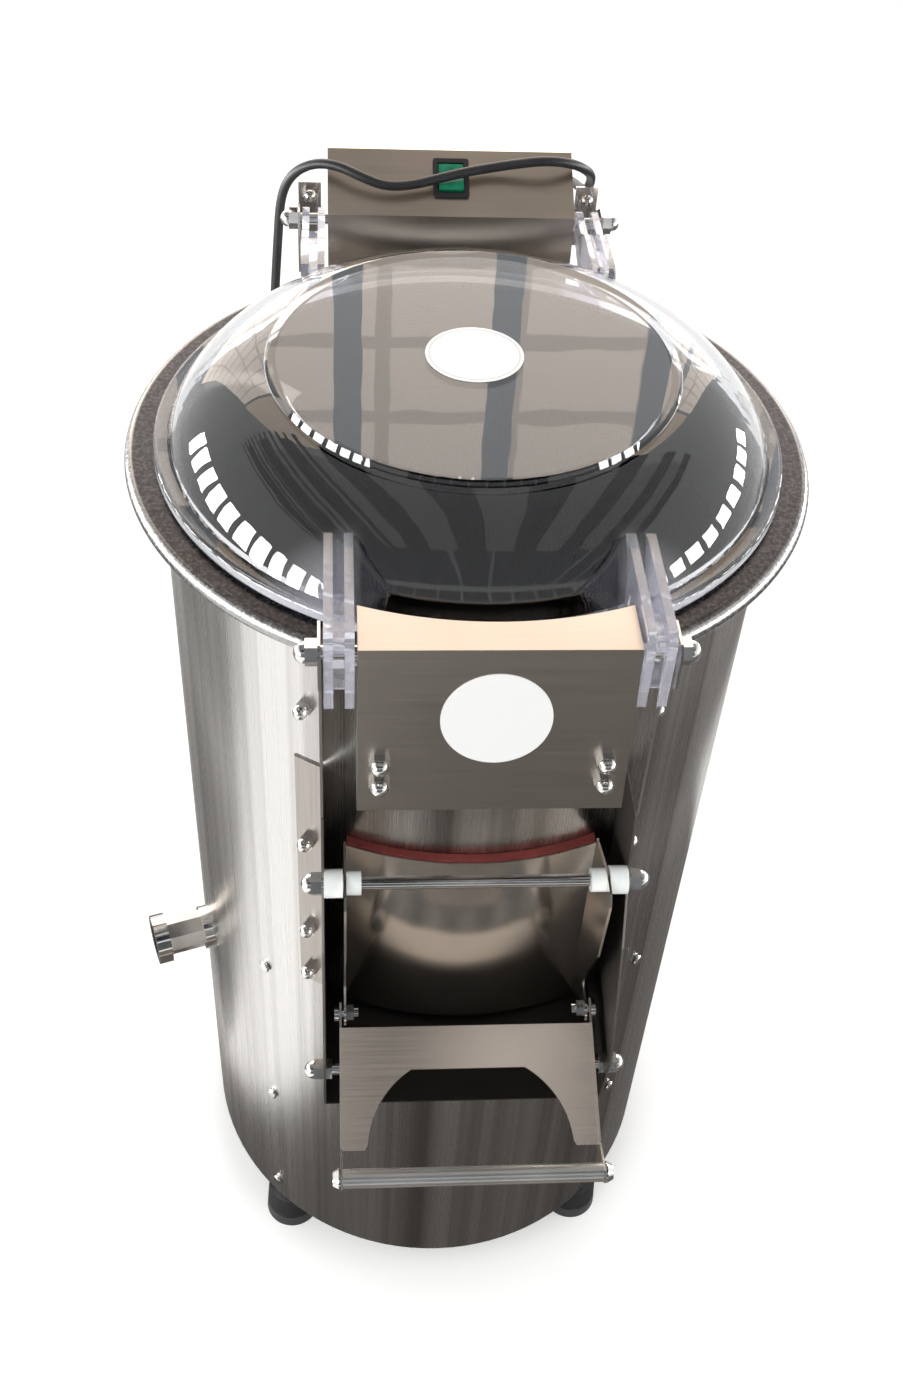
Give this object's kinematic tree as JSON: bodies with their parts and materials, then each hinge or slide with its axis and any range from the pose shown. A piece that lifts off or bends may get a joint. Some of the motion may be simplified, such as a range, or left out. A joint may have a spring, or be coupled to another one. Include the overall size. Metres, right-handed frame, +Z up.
{
  "type": "electric potato peeler",
  "caption": "Upright stainless drum potato peeler with a clear hinged lid, a front discharge door with a lever handle, a rear switch box and a belt-driven abrasive disc.",
  "frame": {"origin": "on the drum axis, in the plane of the feet's soles, at the centre of the circle of feet", "axes": "+Z up along the drum axis, -Y towards the discharge door and handle, +Y towards the control box and the lid's hinge, +X to the right seen from the door"},
  "size_m": [0.4479, 0.744, 0.8211],
  "materials": {
    "body_steel": "vertically brushed stainless sheet",
    "sheet_steel": "satin stainless sheet, folded and drilled",
    "polished_steel": "polished stainless pins, nuts and bar",
    "rim_steel": "spun stainless ring with a rolled bead",
    "drum_steel": "plain stainless drum",
    "clear_plastic": "clear moulded polycarbonate",
    "white_nylon": "turned white nylon",
    "red_silicone": "translucent red silicone seal",
    "black_rubber": "matt black rubber",
    "black_plastic": "moulded black plastic",
    "black_cable": "round black mains cable",
    "grey_cable": "grey sheathed inner lead",
    "green_switch": "translucent green rocker",
    "label_white": "plain white gloss disc",
    "abrasive": "coarse dark grit in resin",
    "disc_alloy": "cast alloy",
    "cast_housing": "painted grey casting",
    "chromed_brass": "bright plated brass",
    "capacitor_white": "moulded can"
  },
  "bodies": {
    "machine": {"body_shell": "body_steel", "top_rim": "rim_steel", "inner_drum": "drum_steel", "abrasive_lining": "abrasive", "drum_floor": "drum_steel", "bearing_housing": "cast_housing", "bearings": "polished_steel", "shaft_seal": "black_rubber", "drive_belt": "black_rubber", "motor_housing": "cast_housing", "motor_plate": "sheet_steel", "base_ring": "sheet_steel", "frame_legs": "sheet_steel", "leg_screws": "polished_steel", "rubber_feet": "black_rubber", "foot_screws": "polished_steel", "drain_pipe": "chromed_brass", "drain_outlet": "chromed_brass", "water_inlet": "chromed_brass", "spray_nozzle": "chromed_brass", "discharge_chute": "sheet_steel", "side_plates": "body_steel", "frame_bolts": "polished_steel", "frame_nuts": "polished_steel", "front_bracket": "sheet_steel", "panel_angles": "sheet_steel", "latch_pins": "polished_steel", "door_rod": "polished_steel", "catch_pins": "polished_steel", "hinge_pins": "polished_steel", "cap_nuts": "polished_steel", "rod_spacers": "white_nylon", "control_box": "sheet_steel", "control_box_back": "sheet_steel", "box_saddle": "sheet_steel", "run_capacitor": "capacitor_white", "hinge_brackets": "body_steel", "switch_case": "black_plastic", "cable_gland": "black_plastic", "power_cord": "black_cable", "cord_coil": "black_cable", "mains_plug": "black_plastic", "motor_lead": "grey_cable", "front_label": "label_white"},
    "lid": {"lid": "clear_plastic", "lid_label": "label_white"},
    "door": {"door_panel": "drum_steel", "door_gasket": "red_silicone", "door_bushes": "white_nylon", "pivot_bolts": "polished_steel"},
    "handle": {"handle_bracket": "sheet_steel", "handle_bar": "polished_steel", "bar_screws": "polished_steel"},
    "rocker": {"rocker": "green_switch"},
    "spindle": {"main_shaft": "polished_steel", "peeling_disc": "disc_alloy", "disc_nut": "polished_steel", "driven_pulley": "cast_housing"},
    "rotor": {"motor_rotor": "polished_steel", "motor_pulley": "cast_housing"}
  },
  "joints": [
    {"name": "lid_hinge", "type": "hinge", "parent": "machine", "child": "lid", "pos_m": [0, 0.231, 0.779], "axis": [-1, 0, 0], "range_deg": [0, 90]},
    {"name": "door_hinge", "type": "hinge", "parent": "machine", "child": "door", "pos_m": [0, -0.221, 0.583], "axis": [-1, 0, 0], "range_deg": [0, 75]},
    {"name": "handle_pivot", "type": "hinge", "parent": "door", "child": "handle", "pos_m": [0, -0.226, 0.452], "axis": [-1, 0, 0], "range_deg": [0, 80]},
    {"name": "switch_rocker", "type": "hinge", "parent": "machine", "child": "rocker", "pos_m": [0, 0.24902, 0.8022], "axis": [-1, 0, 0], "range_deg": [-14, 0]},
    {"name": "disc_spin", "type": "hinge", "parent": "machine", "child": "spindle", "pos_m": [0, 0, 0.31], "axis": [0, 0, 1], "continuous": true},
    {"name": "motor_spin", "type": "hinge", "parent": "machine", "child": "rotor", "pos_m": [0, 0.112, 0.31], "axis": [0, 0, 1], "continuous": true}
  ],
  "couplings": [
    {"joint": "motor_spin", "follows": "disc_spin", "ratio": 3.5316}
  ]
}
